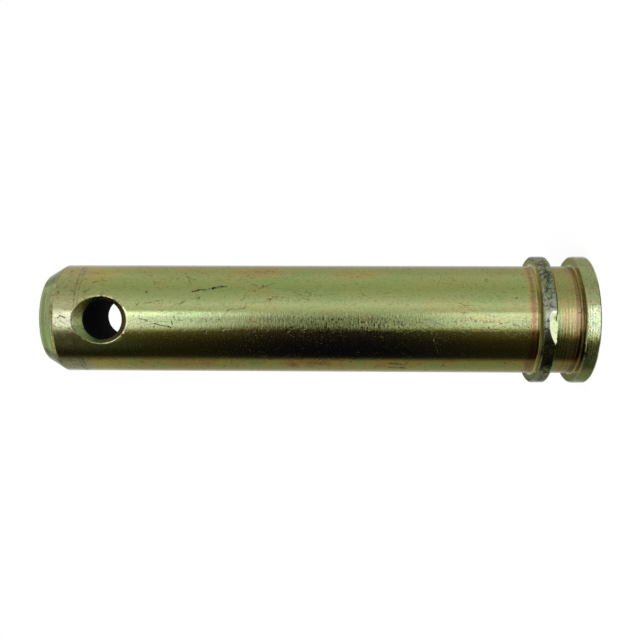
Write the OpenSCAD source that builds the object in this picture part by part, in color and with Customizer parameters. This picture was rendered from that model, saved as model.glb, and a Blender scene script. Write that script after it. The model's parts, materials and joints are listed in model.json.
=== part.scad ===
// Lower link pin: one turned bar of steel, standing on its head.
// A plain shank carries the link. A collar and a head, with a groove between
// them, stop it at one end, and a cross hole near the chamfered tip takes the
// linchpin that stops it at the other.
// The origin is the centre of the head's flat end face, and +Z runs along the
// pin to its tip. The cross hole runs along Y.

/* [Shank] */
// Diameter of the shank, which the link turns on
shank_d = 28; // [18:0.1:50]
// Length from the collar's bearing face to the end of the tip
working_l = 126; // [60:0.5:260]

/* [Tip] */
// Length of the lead-in chamfer along the axis
lead_in_l = 4.5; // [1:0.1:8]
// How far the lead-in chamfer narrows the radius
lead_in_depth = 2.75; // [0.5:0.05:6]
// Radius that softens the corner between the lead-in chamfer and the end face
tip_round = 0.5; // [0.1:0.05:0.8]
// Radius that softens the corner between the shank and the lead-in chamfer
lead_in_round = 1; // [0.2:0.1:2]

/* [Head] */
// How far the head and the collar stand out from the shank
flange_h = 2.5; // [1:0.1:12]
// Thickness of the head
head_t = 3.7; // [2:0.1:20]
// Thickness of the collar that the link bears on
collar_t = 3.5; // [2:0.1:20]
// Width of the groove between the head and the collar
groove_w = 6.8; // [2:0.1:30]
// Bevel on the rims of the head and of the collar
rim_bevel = 0.35; // [0.1:0.05:0.8]
// Fillet in the two corners at the bottom of the groove
groove_fillet = 0.4; // [0.1:0.05:0.9]
// Fillet where the shank meets the collar
seat_fillet = 0.8; // [0.1:0.05:0.9]

/* [Cross hole] */
// Diameter of the cross hole
hole_d = 10; // [3:0.1:14]
// Distance from the end of the tip to the centre of the cross hole
hole_from_tip = 16.2; // [12.5:0.1:60]
// Width of the countersink round each mouth of the hole, seen end-on
sink_w = 1.9; // [0.2:0.1:3]
// Full angle of the countersink
sink_angle = 70; // [50:1:110]

/* [Hidden] */
$fn = 96;

shank_r = shank_d / 2;
flange_r = shank_r + flange_h;
tip_r = shank_r - lead_in_depth;

// Places along the axis, from the head's end face upwards
groove_z = head_t;
collar_z = groove_z + groove_w;
seat_z = collar_z + collar_t;
tip_z = seat_z + working_l;
lead_in_z = tip_z - lead_in_l;
hole_z = tip_z - hole_from_tip;

// The countersink's cone, carried on past the shank so that it cuts clear
hole_r = hole_d / 2;
sink_depth = sink_w / tan(sink_angle / 2);
sink_over = 1;
sink_over_w = sink_over * tan(sink_angle / 2);

// Slope of the lead-in chamfer against the axis
lead_in_angle = atan(lead_in_depth / lead_in_l);

// A disc's half section: a rectangle with its two outer corners bevelled
module flange_section(z, thickness) {
    translate([0, z])
        polygon([
            [0, 0],
            [flange_r - rim_bevel, 0],
            [flange_r, rim_bevel],
            [flange_r, thickness - rim_bevel],
            [flange_r - rim_bevel, thickness],
            [0, thickness],
        ]);
}

// The web of an inside corner at the shank's surface, with a round of radius r.
// up is 1 where the corner opens upwards and -1 where it opens downwards.
module corner_fillet(z, r, up) {
    translate([shank_r, z])
        mirror([0, up > 0 ? 0 : 1])
            difference() {
                translate([-r, 0])
                    square([2 * r, r]);
                translate([r, r])
                    circle(r);
            }
}

// The shank's half section, from the head to the end of the tip
module shank_section() {
    difference() {
        polygon([
            [0, 0],
            [shank_r, 0],
            [shank_r, lead_in_z],
            [tip_r, tip_z],
            [0, tip_z],
        ]);
        corner_waste([tip_r, tip_z], 180, 90 - lead_in_angle, tip_round);
        corner_waste([shank_r, lead_in_z], 90 + lead_in_angle, lead_in_angle, lead_in_round);
    }
}

// What a round of radius r takes away at an outside corner: the kite between
// the corner and the arc's centre, less the arc. The first edge leaves the
// corner in the direction heading, and the outline turns there by the angle turn.
module corner_waste(corner, heading, turn, r) {
    touch = r * tan(turn / 2);
    translate(corner)
        rotate(heading)
            difference() {
                polygon([
                    [0, 0],
                    [touch, 0],
                    [touch, r],
                    touch * [-cos(turn), sin(turn)],
                ]);
                translate([touch, r])
                    circle(r);
            }
}

module turned_body() {
    rotate_extrude()
        union() {
            shank_section();
            flange_section(0, head_t);
            flange_section(collar_z, collar_t);
            corner_fillet(groove_z, groove_fillet, 1);
            corner_fillet(collar_z, groove_fillet, -1);
            corner_fillet(seat_z, seat_fillet, 1);
        }
}

// The drill and the countersink of each mouth, along Y through the pin's axis
module cross_drill() {
    translate([0, 0, hole_z])
        rotate([90, 0, 0]) {
            cylinder(r = hole_r, h = 2 * (shank_r + sink_over), center = true);
            for (side = [0, 180])
                rotate([side, 0, 0])
                    translate([0, 0, shank_r - sink_depth])
                        cylinder(
                            r1 = hole_r,
                            r2 = hole_r + sink_w + sink_over_w,
                            h = sink_depth + sink_over
                        );
        }
}

module link_pin() {
    color("darkkhaki")
        difference() {
            turned_body();
            cross_drill();
        }
}

link_pin();
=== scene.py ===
"""Lower link pin: the plated finish of the pin and the stage that it is shown on.

The pin is one turned piece. Its surface is worked out again here with numpy, from
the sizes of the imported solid, so that the turning marks, the scale on the collar's
rim and the small knocks are in the mesh. All lengths are in metres.
"""

import json
import math

import bpy
import numpy as np
from bpy.props import FloatProperty, FloatVectorProperty, IntProperty, PointerProperty
from mathutils import Matrix, Vector


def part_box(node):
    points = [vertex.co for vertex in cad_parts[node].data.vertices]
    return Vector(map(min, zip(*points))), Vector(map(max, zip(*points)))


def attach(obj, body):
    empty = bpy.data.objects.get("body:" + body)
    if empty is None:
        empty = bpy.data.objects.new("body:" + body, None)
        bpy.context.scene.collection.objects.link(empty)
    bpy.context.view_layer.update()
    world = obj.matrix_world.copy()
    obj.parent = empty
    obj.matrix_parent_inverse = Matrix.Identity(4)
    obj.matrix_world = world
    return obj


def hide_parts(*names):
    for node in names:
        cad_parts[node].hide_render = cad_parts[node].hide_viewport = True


bl_info = {
    "name": "Lower link pin",
    "version": (1, 0, 0),
    "blender": (4, 5, 0),
    "location": "3D View > Sidebar > Link Pin",
    "description": "Builds a zinc plated lower link pin and its studio stage",
    "category": "Object",
}

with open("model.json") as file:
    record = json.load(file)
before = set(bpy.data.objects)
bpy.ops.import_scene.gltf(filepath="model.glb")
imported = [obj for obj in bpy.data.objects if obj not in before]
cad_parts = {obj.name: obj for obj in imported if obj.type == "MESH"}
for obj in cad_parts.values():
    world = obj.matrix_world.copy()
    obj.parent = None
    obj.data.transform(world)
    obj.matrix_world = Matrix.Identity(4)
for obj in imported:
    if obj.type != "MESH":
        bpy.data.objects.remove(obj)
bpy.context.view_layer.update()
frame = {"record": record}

MM = 0.001
NODE = "link_pin"
BODY = "root"

MOUNTS = {mount["name"]: mount for mount in frame["record"]["mounts"]}
SOLID_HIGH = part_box(NODE)[1]


def length(label, text, default):
    """A property for a length in metres."""
    return FloatProperty(
        name=label, description=text, default=default, min=0.0,
        precision=5, subtype="DISTANCE", unit="LENGTH",
    )


def angle(label, text, degrees):
    """A property for an angle, its default given in degrees."""
    return FloatProperty(
        name=label, description=text, default=math.radians(degrees),
        subtype="ANGLE", unit="ROTATION",
    )


def colour(label, text, default):
    """A property for a linear colour."""
    return FloatVectorProperty(
        name=label, description=text, default=default, size=3,
        min=0.0, max=1.0, subtype="COLOR",
    )


def factor(label, text, default, top=1.0):
    """A property for a plain number from 0 to top."""
    return FloatProperty(
        name=label, description=text, default=default, min=0.0, max=top,
        subtype="FACTOR",
    )


class PinSizes(bpy.types.PropertyGroup):
    """Sizes of the pin's surface"""

    shank_radius: length(
        "Shank radius", "Radius of the shank",
        MOUNTS["shank"]["dims"]["r_mm"] * MM)
    flange_radius: length(
        "Flange radius", "Radius of the head and of the collar", SOLID_HIGH.x)
    overall_length: length(
        "Overall length", "From the head's end face to the tip", SOLID_HIGH.z)
    head_thickness: length(
        "Head thickness", "Thickness of the head", 3.7 * MM)
    groove_width: length(
        "Groove width", "Width of the groove under the collar", 6.8 * MM)
    collar_thickness: length(
        "Collar thickness", "Thickness of the collar", 3.5 * MM)
    rim_bevel: length(
        "Rim bevel", "Bevel on the rims of the head and the collar", 0.35 * MM)
    groove_fillet: length(
        "Groove fillet", "Fillet in the groove's corners", 0.4 * MM)
    seat_fillet: length(
        "Seat fillet", "Fillet between the shank and the collar", 0.8 * MM)
    lead_in_length: length(
        "Lead-in length", "Length of the tip's chamfer", 4.5 * MM)
    lead_in_depth: length(
        "Lead-in depth", "How far the chamfer narrows the radius", 2.75 * MM)
    lead_in_round: length(
        "Lead-in round", "Round between the shank and the chamfer", 1.0 * MM)
    tip_round: length(
        "Tip round", "Round between the chamfer and the end face", 0.5 * MM)
    hole_radius: length(
        "Hole radius", "Radius of the cross hole",
        MOUNTS["linchpin_hole"]["dims"]["r_mm"] * MM)
    hole_height: length(
        "Hole height", "Height of the cross hole above the head's end face",
        MOUNTS["linchpin_hole"]["pos_m"][2])
    sink_width: length(
        "Countersink width", "Width of the countersink, seen end-on", 1.9 * MM)
    sink_half_angle: angle(
        "Countersink half angle", "Slope of the countersink's cone", 35.0)
    mouth_break: length(
        "Mouth break", "Width of the dulled edge round each mouth", 0.12 * MM)
    ring_depth: length(
        "Turning mark depth", "Depth of the rings left by the lathe tool",
        0.008 * MM)
    scale_depth: length(
        "Scale depth", "Depth of the pits in the collar's rim", 0.015 * MM)
    nick_depth: length(
        "Nick depth", "Depth of the nicks along the rims", 0.12 * MM)
    knock_reach: length(
        "Knock reach", "How far the flat knock reaches over the collar's rim",
        2.05 * MM)
    knock_lean: angle(
        "Knock lean", "Slope of the flat knock against the rim", 27.0)
    knock_aside: angle(
        "Knock turn", "Where the knock lies round the pin", -1.0)
    knock_top: length(
        "Knock top", "Where the knock ends on the X axis", 3.2 * MM)
    columns: IntProperty(
        name="Columns", description="Faces round the pin", default=288,
        min=96, max=320)


class PlateFinish(bpy.types.PropertyGroup):
    """Colours and gloss of the plated steel, and the colours of the shade painted in its
    hollows
    """

    film_green: colour(
        "Green film", "The passivation where it is thin", (0.44, 0.60, 0.19))
    film_olive: colour(
        "Olive film", "The passivation's usual colour", (0.555, 0.62, 0.215))
    film_gold: colour(
        "Gold film", "The passivation where it is thicker", (0.64, 0.585, 0.18))
    film_tan: colour(
        "Tan film", "The passivation where it turns brown", (0.62, 0.49, 0.18))
    film_brown: colour(
        "Brown film", "The passivation where it is thickest", (0.46, 0.33, 0.13))
    bare_zinc: colour(
        "Bare zinc", "Plating worn clear of its passivation", (0.46, 0.51, 0.35))
    scale: colour(
        "Scale", "Dark mill scale in the pits", (0.022, 0.020, 0.013))
    # This brown is soiling on the tip's lead edge, and painted shade in the groove's and
    # the seat's corners, on the head's inner face, in the countersink and on the hole's
    # mouth.
    dirt_and_shade: colour(
        "Dirt", "Brown residue in the corners", (0.085, 0.060, 0.010))
    # Painted shade: the near-black given to the cross hole's wall in place of the shade
    # inside the hole.
    bore_shade: colour(
        "Bore", "Drilled wall of the cross hole", (0.004, 0.004, 0.005))
    gloss_roughness: factor(
        "Ground roughness", "Roughness of the ground shank", 0.125)
    turned_roughness: factor(
        "Turned roughness", "Roughness of the turned faces", 0.155)
    scale_roughness: factor(
        "Scale roughness", "Roughness of the scale", 0.22)


class StageLook(bpy.types.PropertyGroup):
    """Camera, surround and floor"""

    lens: FloatProperty(
        name="Lens", description="Focal length in millimetres", default=44.473,
        min=10.0, subtype="NONE", unit="CAMERA")
    distance: length(
        "Distance", "From the lens to the pin's axis", 209.93 * MM)
    aim_height: length(
        "Aim height", "Height on the pin's axis that the lens points at",
        68.887 * MM)
    aim_drop: length(
        "Aim drop", "How far the pin's axis lies above the picture's centre",
        0.36 * MM)
    swing: angle(
        "Swing", "Turn of the view round the pin, away from the hole's axis", 2.3)
    yaw: angle("Yaw", "Turn of the view towards the head", 1.599)
    roll: angle("Roll", "Tilt of the picture", 0.225)
    surround_radius: length(
        "Surround radius", "Radius of the card surround", 0.5)
    floor: colour("Floor", "Colour of the floor", (0.9, 0.9, 0.9))


# Shapes

CORE = 0.8 * MM
KNOCK_FADE = 3.6 * MM
SHARP_EDGE = math.radians(30)
RING_SEED, COARSE_SEED, FINE_SEED, NICK_SEED, MOUTH_SEED = 11, 21, 22, 31, 5
# Cells of each noise round the pin, and how high a cell is
COARSE_CELLS, FINE_CELLS, NICK_CELLS = (90, 0.9 * MM), (230, 0.34 * MM), (64, 1.1 * MM)
MOUTH_WAVES = (3, 24)
# How deep the lathe's rings are on each turned stretch, as a share of the full depth
RING_SHARES = {
    "groove": 0.5, "lead_in": 0.8, "head_end": 0.7, "tip_end": 0.8,
    "seat": 0.5, "head_inner": 0.5, "collar_inner": 0.5,
}
# The patch with the hole spans two of this many parts of the pin's faces
PATCH_SHARE = 11
MOUTH_ROUNDS = 40
SKIRT_RINGS = (0.25, 0.5, 0.75, 1.0)
CONE_RINGS = 9
WALL_RINGS = 7


def straight(start, end, count):
    """Rows (radius, height) evenly spaced from start up to, but not at, end."""
    share = np.arange(count)[:, None] / count
    return np.asarray(start) * (1 - share) + np.asarray(end) * share


def arc(centre, radius, start_deg, end_deg, count):
    """Rows on a circle from one angle up to, but not at, another.

    An angle of 0 points away from the axis and 90 points up."""
    turn = np.radians(start_deg + (end_deg - start_deg) * np.arange(count) / count)
    return np.asarray(centre) + radius * np.stack([np.cos(turn), np.sin(turn)], 1)


def half_section(s, half_band, band_rows):
    """The pin's outline as named stretches of rows (radius, height).

    It runs from near the centre of the head's end face, out and up over the head,
    the groove, the collar and the shank, and in again over the tip."""
    shank, flange = s.shank_radius, s.flange_radius
    groove_z = s.head_thickness
    collar_z = groove_z + s.groove_width
    seat_z = collar_z + s.collar_thickness
    tip_z = s.overall_length
    lead_z = tip_z - s.lead_in_length
    tip_r = shank - s.lead_in_depth
    bevel, fillet, seat = s.rim_bevel, s.groove_fillet, s.seat_fillet
    low_band, high_band = s.hole_height - half_band, s.hole_height + half_band

    slope = math.atan2(s.lead_in_depth, s.lead_in_length)
    slope_deg = math.degrees(slope)
    lead_touch = s.lead_in_round * math.tan(slope / 2)
    tip_touch = s.tip_round * math.tan((math.pi / 2 - slope) / 2)
    lead_centre = (shank - s.lead_in_round, lead_z - lead_touch)
    tip_centre = (tip_r - tip_touch, tip_z - s.tip_round)
    lead_end = arc(lead_centre, s.lead_in_round, slope_deg, 90, 1)[0]
    tip_start = arc(tip_centre, s.tip_round, slope_deg, 90, 1)[0]

    return {
        "head_end": straight((CORE, 0), (flange - bevel, 0), 12),
        "head_low_bevel": straight(
            (flange - bevel, 0), (flange, bevel), 2),
        "head_rim": straight(
            (flange, bevel), (flange, groove_z - bevel), 14),
        "head_high_bevel": straight(
            (flange, groove_z - bevel), (flange - bevel, groove_z), 2),
        "head_inner": straight(
            (flange - bevel, groove_z), (shank + fillet, groove_z), 5),
        "groove_low_fillet": arc(
            (shank + fillet, groove_z + fillet), fillet, -90, -180, 5),
        "groove": straight(
            (shank, groove_z + fillet), (shank, collar_z - fillet), 44),
        "groove_high_fillet": arc(
            (shank + fillet, collar_z - fillet), fillet, 180, 90, 5),
        "collar_inner": straight(
            (shank + fillet, collar_z), (flange - bevel, collar_z), 6),
        "collar_low_bevel": straight(
            (flange - bevel, collar_z), (flange, collar_z + bevel), 3),
        "collar_rim": straight(
            (flange, collar_z + bevel), (flange, seat_z - bevel), 18),
        "collar_high_bevel": straight(
            (flange, seat_z - bevel), (flange - bevel, seat_z), 2),
        "seat": straight(
            (flange - bevel, seat_z), (shank + seat, seat_z), 5),
        "seat_fillet": arc(
            (shank + seat, seat_z + seat), seat, -90, -180, 8),
        "shank": straight(
            (shank, seat_z + seat), (shank, low_band), 60),
        "hole_band": straight(
            (shank, low_band), (shank, high_band), band_rows),
        "shank_end": straight(
            (shank, high_band), (shank, lead_centre[1]), 4),
        "lead_in_round": arc(
            lead_centre, s.lead_in_round, 0, slope_deg, 4),
        "lead_in": straight(lead_end, tip_start, 18),
        "tip_round": arc(
            tip_centre, s.tip_round, slope_deg, 90, 5),
        "tip_end": straight(
            (tip_centre[0], tip_z), (CORE, tip_z), 11),
        "tip_core": np.array([(CORE, tip_z)]),
    }


def first_row(stretches, name):
    """Number of the row that a stretch starts with."""
    names = list(stretches)
    return sum(len(stretches[each]) for each in names[:names.index(name)])


def turned_points(radius, height, turn):
    """Points round the axis: x = radius sin turn, y = -radius cos turn, z = height.

    A turn of 0 faces the camera."""
    return np.stack(
        [radius * np.sin(turn), -radius * np.cos(turn), height + 0 * turn], -1)


def sheet_quads(ids):
    """Four-sided faces between neighbouring rows of point numbers, closed round."""
    following = np.roll(ids, -1, axis=1)
    return np.stack([ids[:-1], following[:-1], following[1:], ids[1:]], -1)


def lattice(turn, height, cells_round, cell_high, seed):
    """Smooth noise from 0 to 1 on the grid of angles and heights.

    Random values sit on a lattice that closes on itself round the pin, and are
    joined by the smooth step of each cell's two fractions."""
    rng = np.random.default_rng(seed)
    rows = int(np.ceil(np.ptp(height) / cell_high)) + 3
    values = rng.random((rows, cells_round))
    across = np.mod(turn / (2 * np.pi), 1.0) * cells_round
    along = (height - height.min()) / cell_high + 0.5
    i, j = np.floor(along).astype(int), np.floor(across).astype(int)
    f, g = along - i, across - j
    f, g = f * f * (3 - 2 * f), g * g * (3 - 2 * g)
    j, k = j % cells_round, (j + 1) % cells_round
    low = values[i, j] * (1 - g) + values[i, k] * g
    high = values[i + 1, j] * (1 - g) + values[i + 1, k] * g
    return low * (1 - f) + high * f


def surface_relief(s, stretches, turn):
    """How deep each grid point lies under the plain outline, in metres.

    Turned faces get rings: one random depth for each row, with a little run-out
    round the pin. The collar's rim gets pits where two noises are both high, and
    the bevelled edges of the rims get nicks where a noise comes near its top."""
    rng = np.random.default_rng(RING_SEED)
    rows = np.concatenate(list(stretches.values()))
    height = np.broadcast_to(rows[:, 1][:, None], (len(rows), len(turn)))
    angles = np.broadcast_to(turn, height.shape)
    depth = np.zeros(height.shape)
    first = 0
    for name, part in stretches.items():
        band = slice(first, first + len(part))
        first += len(part)
        if name in RING_SHARES:
            ring = rng.random(len(part))[:, None]
            run_out = 1 + 0.25 * np.sin(turn + rng.random() * 6.28)
            depth[band] += s.ring_depth * RING_SHARES[name] * ring * run_out
        if name == "collar_rim":
            coarse = lattice(angles[band], height[band], *COARSE_CELLS, COARSE_SEED)
            fine = lattice(angles[band], height[band], *FINE_CELLS, FINE_SEED)
            middle = np.sin(np.linspace(0, np.pi, len(part)))[:, None] ** 0.7
            pit = np.clip((coarse * 0.45 + fine * 0.75 - 0.55) * 3, 0, 1)
            depth[band] += s.scale_depth * pit * middle
        if name.endswith("_bevel") or name in ("head_rim", "collar_rim"):
            edge = 1.0 if name.endswith("_bevel") else 0.06
            nick = lattice(
                angles[band], height[band], *NICK_CELLS, NICK_SEED + len(part))
            depth[band] += s.nick_depth * edge * np.clip((nick - 0.62) * 2.6, 0, 1)
    return depth


def collar_knock(s):
    """A point on the flat knock at the collar's edge next to the groove, and the
    knock's normal, which leans from the rim towards the groove."""
    out = np.array([math.sin(s.knock_aside), -math.cos(s.knock_aside), 0.0])
    up = np.array([0.0, 0.0, 1.0])
    collar_z = s.head_thickness + s.groove_width
    place = s.flange_radius * out + (collar_z + s.knock_reach) * up
    return place, math.cos(s.knock_lean) * out - math.sin(s.knock_lean) * up


def knock_flat(points, place, normal, top):
    """Presses every point that stands out over a plane back on to it.

    The plane goes through place and faces along normal. The press fades out
    towards top on the X axis, so that the flat is a wedge."""
    over = np.clip((points - place) @ normal, 0, None)
    share = np.clip((top - points[..., 0]) / KNOCK_FADE, 0, 1)
    return points - (over * share * share * (3 - 2 * share))[..., None] * normal


def turned_grid(s, stretches, columns):
    """Points of the turned surface on a grid of rows by columns.

    The outline's rows are carried round the axis, from the side that faces the
    camera. Each row is moved inwards along the outline's normal by the relief. A
    flat knock cuts the collar's edge next to the groove."""
    rows = np.concatenate(list(stretches.values()))
    turn = 2 * np.pi * np.arange(columns) / columns
    along = np.gradient(rows, axis=0)
    along /= np.linalg.norm(along, axis=1, keepdims=True)
    depth = surface_relief(s, stretches, turn)
    radius = rows[:, :1] - depth * along[:, 1:]
    height = rows[:, 1:] + depth * along[:, :1]
    points = turned_points(radius, height, turn)
    near = slice(first_row(stretches, "collar_inner"), first_row(stretches, "seat"))
    points[near] = knock_flat(points[near], *collar_knock(s), s.knock_top)
    return points


def mouth_radius(s, turn, start):
    """Distance of the countersink's edge from the hole's axis at each angle.

    The cone's radius where it leaves the shank solves
    radius = hole + (sqrt(shank^2 - (radius sin t)^2) - start) tan(half angle),
    and repeating that line settles on it."""
    widening = math.tan(s.sink_half_angle)
    radius = np.full(turn.shape, s.hole_radius + s.sink_width)
    for _ in range(MOUTH_ROUNDS):
        reach = np.sqrt(s.shank_radius ** 2 - (radius * np.sin(turn)) ** 2)
        radius = s.hole_radius + (reach - start) * widening
    return radius


def cross_hole_rings(s, loop_x, loop_z):
    """Rings of points from the patch's edge on the front, through the pin, to the
    middle of the hole. The back half is their mirror image in y.

    On the shank a ring is a mix of the square loop and the round mouth, laid on the
    cylinder by its arc length. On the cone and on the wall a ring is a circle round
    the hole's axis at the depth that the cone or the wall gives it."""
    shank = s.shank_radius
    widening = math.tan(s.sink_half_angle)
    start = shank - s.sink_width / widening
    loop_u = shank * np.arcsin(loop_x / shank)
    loop_v = loop_z - s.hole_height
    turn = np.arctan2(loop_x, loop_v)
    mouth = mouth_radius(s, turn, start)

    def on_shank(arc_length, v):
        swing = arc_length / shank
        return np.stack(
            [shank * np.sin(swing), -shank * np.cos(swing), s.hole_height + v], -1)

    def round_hole(radius, depth):
        return np.stack([
            radius * np.sin(turn),
            -np.broadcast_to(depth, turn.shape),
            s.hole_height + radius * np.cos(turn)], -1)

    rng = np.random.default_rng(MOUTH_SEED)
    waves = np.arange(*MOUTH_WAVES)
    strength = rng.normal(size=waves.size) / waves.size ** 0.5
    phase = rng.random(waves.size) * 2 * np.pi
    uneven = np.sin(turn[:, None] * waves + phase) @ strength
    outer = mouth + 1.4 * s.mouth_break * np.clip(1 + 0.5 * uneven, 0.2, 2.0)
    outer_u = shank * np.arcsin(outer * np.sin(turn) / shank)
    outer_v = outer * np.cos(turn)
    rings = [
        on_shank(loop_u * (1 - q) + outer_u * q, loop_v * (1 - q) + outer_v * q)
        for q in SKIRT_RINGS
    ]
    inner = mouth - 0.5 * s.mouth_break
    for q in np.linspace(0, 1, CONE_RINGS):
        radius = inner * (1 - q) + s.hole_radius * q
        rings.append(round_hole(radius, start + (radius - s.hole_radius) / widening))
    for q in np.linspace(0, 1, WALL_RINGS)[1:]:
        rings.append(round_hole(np.full(turn.shape, s.hole_radius), start * (1 - q)))
    return rings


def pin_mesh(s):
    """Vertices and faces of the whole pin.

    The turned grid is closed by a fan at each end. A square patch of the grid is
    left out on the front and on the back, and a tube of rings joins the two gaps
    through the pin as the cross hole with its two countersinks."""
    columns = s.columns
    half = columns // PATCH_SHARE
    step = 2 * math.pi / columns * s.shank_radius
    stretches = half_section(s, half * step, 2 * half)
    grid = turned_grid(s, stretches, columns)
    low = first_row(stretches, "hole_band")
    high = low + 2 * half
    row_count = len(grid)

    # Quads of the grid, less the two patches
    quads = sheet_quads(np.arange(row_count * columns).reshape(-1, columns))
    i, k = np.indices(quads.shape[:2])
    from_front = (k + half) % columns
    from_back = (k + half - columns // 2) % columns
    in_band = (i >= low) & (i < high)
    patch = in_band & ((from_front < 2 * half) | (from_back < 2 * half))
    quads = quads[~patch]

    # The loop round a patch, clockwise from its top left corner
    side = np.arange(-half, half)
    loop_col = np.concatenate([side, np.full(2 * half, half), -side,
                               np.full(2 * half, -half)])
    loop_row = np.concatenate([np.full(2 * half, high), high - half - side,
                               np.full(2 * half, low), low + half + side])
    front = loop_row * columns + loop_col % columns
    back = loop_row * columns + (columns // 2 - loop_col) % columns
    flat = grid.reshape(-1, 3)
    rings = cross_hole_rings(s, flat[front, 0], flat[front, 2])
    mirrored = [ring * (1, -1, 1) for ring in rings[-2::-1]]
    tube = np.stack(rings + mirrored)
    around = len(front)
    tube_ids = len(flat) + np.arange(tube.shape[0] * around).reshape(-1, around)
    tube_ids = np.vstack([front, tube_ids, back])
    tube_quads = sheet_quads(tube_ids)[..., [0, 3, 2, 1]].reshape(-1, 4)

    # The fans at the two ends
    ends = np.array([[0, 0, grid[0, 0, 2]], [0, 0, grid[-1, 0, 2]]])
    first_end = len(flat) + tube.shape[0] * around
    k = np.arange(columns)
    n = (k + 1) % columns
    last = (row_count - 1) * columns
    fan_low = np.stack([np.full(columns, first_end), n, k], -1)
    fan_high = np.stack([np.full(columns, first_end + 1), last + k, last + n], -1)

    points = np.concatenate([flat, tube.reshape(-1, 3), ends])
    quads = np.concatenate([quads, tube_quads])
    fans = np.concatenate([fan_low, fan_high])
    used, where = np.unique(
        np.concatenate([quads.ravel(), fans.ravel()]), return_inverse=True)
    quads = where[:quads.size].reshape(-1, 4)
    fans = where[quads.size:].reshape(-1, 3)
    return points[used], quads, fans


def make_mesh(name, points, quads, fans):
    """A mesh object at the origin from points, four-sided and three-sided faces."""
    mesh = bpy.data.meshes.new(name)
    corners = np.concatenate([quads.ravel(), fans.ravel()]).astype(np.int32)
    sizes = np.concatenate([np.full(len(quads), 4), np.full(len(fans), 3)])
    starts = np.concatenate([[0], np.cumsum(sizes)[:-1]]).astype(np.int32)
    mesh.vertices.add(len(points))
    mesh.vertices.foreach_set("co", points.astype(np.float32).ravel())
    mesh.loops.add(len(corners))
    mesh.loops.foreach_set("vertex_index", corners)
    mesh.polygons.add(len(sizes))
    mesh.polygons.foreach_set("loop_start", starts)
    mesh.update(calc_edges=True)
    if mesh.validate():
        raise RuntimeError(f"{name}: the faces did not make a clean mesh")
    mesh.polygons.foreach_set("use_smooth", np.ones(len(sizes), bool))
    piece = bpy.data.objects.new(name, mesh)
    bpy.context.scene.collection.objects.link(piece)
    return piece


# Shading


class Value:
    """One number in a shader; arithmetic on it adds Math nodes."""

    def __init__(self, tree, socket):
        self.tree = tree
        self.socket = socket

    def math(self, operation, *others):
        return self.tree.node(
            "ShaderNodeMath", {"operation": operation},
            dict(enumerate((self, *others))))

    def __add__(self, other):
        return self.math("ADD", other)

    def __sub__(self, other):
        return self.math("SUBTRACT", other)

    def __mul__(self, other):
        return self.math("MULTIPLY", other)

    def __truediv__(self, other):
        return self.math("DIVIDE", other)

    def __pow__(self, other):
        return self.math("POWER", other)

    def math_after(self, operation, other):
        return self.tree.node(
            "ShaderNodeMath", {"operation": operation}, {0: other, 1: self})

    def __rsub__(self, other):
        return self.math_after("SUBTRACT", other)

    def __rtruediv__(self, other):
        return self.math_after("DIVIDE", other)

    def __rpow__(self, other):
        return self.math_after("POWER", other)

    __radd__ = __add__
    __rmul__ = __mul__

    def __abs__(self):
        return self.math("ABSOLUTE")


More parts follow.
